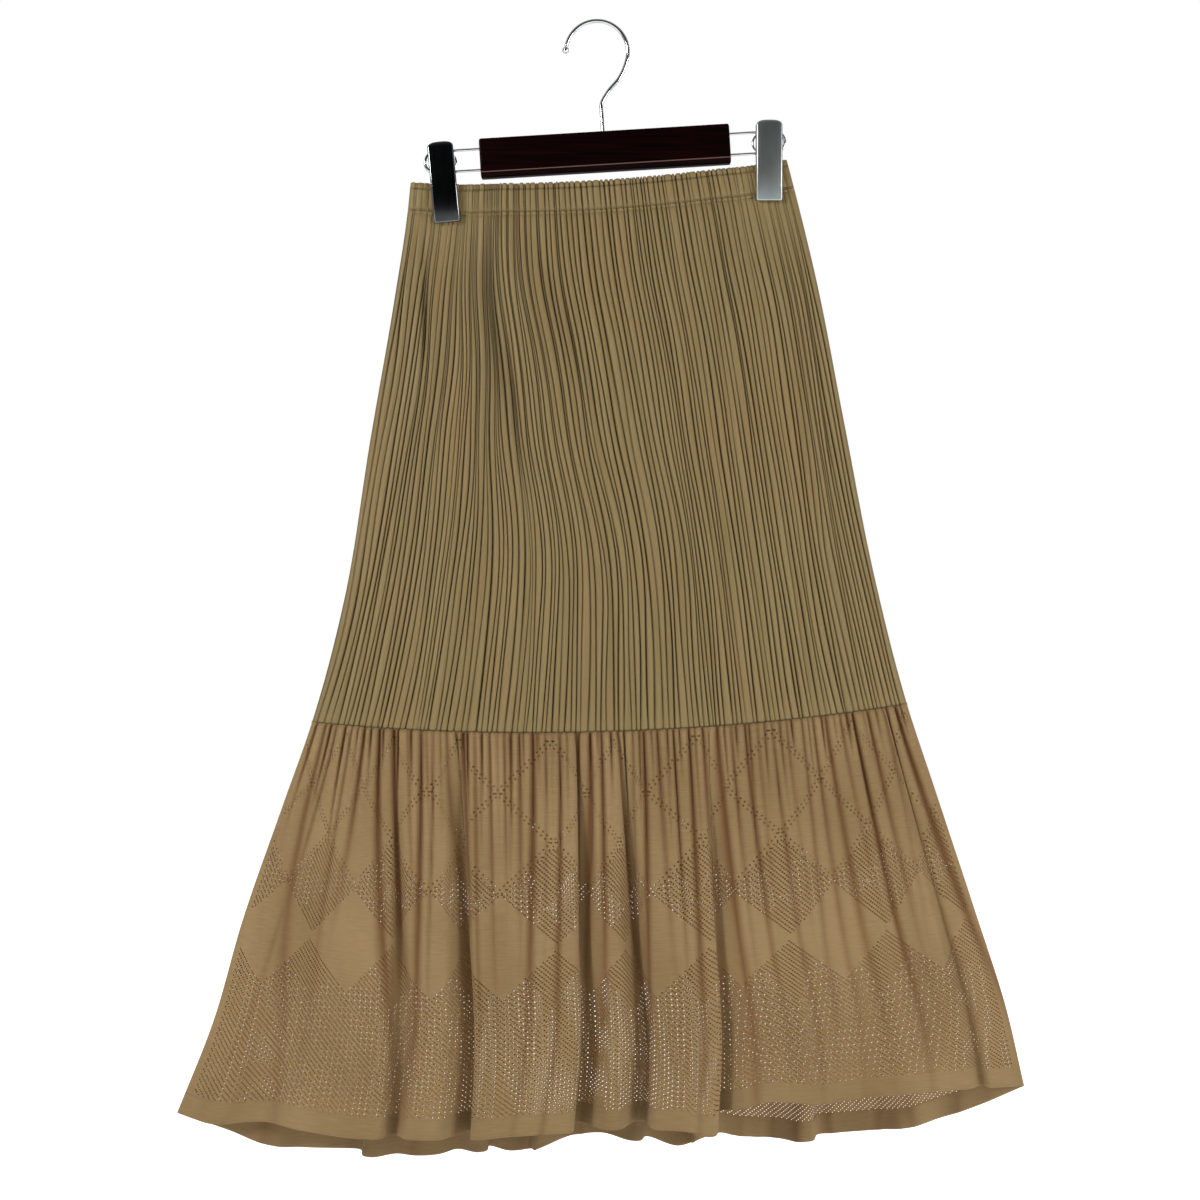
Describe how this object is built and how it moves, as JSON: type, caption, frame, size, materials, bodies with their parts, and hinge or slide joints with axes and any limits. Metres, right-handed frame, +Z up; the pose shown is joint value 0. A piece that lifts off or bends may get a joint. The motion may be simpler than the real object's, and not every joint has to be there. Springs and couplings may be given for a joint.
{
  "type": "pleated skirt on a clip hanger",
  "caption": "Long pleated skirt with an elastic waist and a gathered, perforated flounce, held at the waist by a wooden clip hanger.",
  "frame": {"origin": "top of the inside of the hook, where a rail holds the hanger", "axes": "+Z up, the front of the skirt faces -Y, +X to the right as seen from the front"},
  "size_m": [0.746, 0.073, 1.0111],
  "materials": {
    "pleated_cloth": "matte pleated polyester",
    "voile": "fine perforated voile, slightly sheer",
    "dark_wood": "dark stained and lacquered",
    "clip_plate": "satin plated",
    "clip_back": "dark plated",
    "chrome_wire": "chromed wire"
  },
  "bodies": {
    "root": {"waist_casing_front": "pleated_cloth", "waist_casing_back": "pleated_cloth", "body_front": "pleated_cloth", "body_back": "pleated_cloth", "flounce_front": "voile", "flounce_back": "voile", "hanger_bar": "dark_wood", "hanger_hook": "chrome_wire", "hanger_wire_left": "chrome_wire", "hanger_wire_right": "chrome_wire", "clip_left_front": "clip_plate", "clip_left_back": "clip_back", "clip_left_spring": "chrome_wire", "clip_right_front": "clip_plate", "clip_right_back": "clip_back", "clip_right_spring": "chrome_wire"}
  },
  "joints": []
}
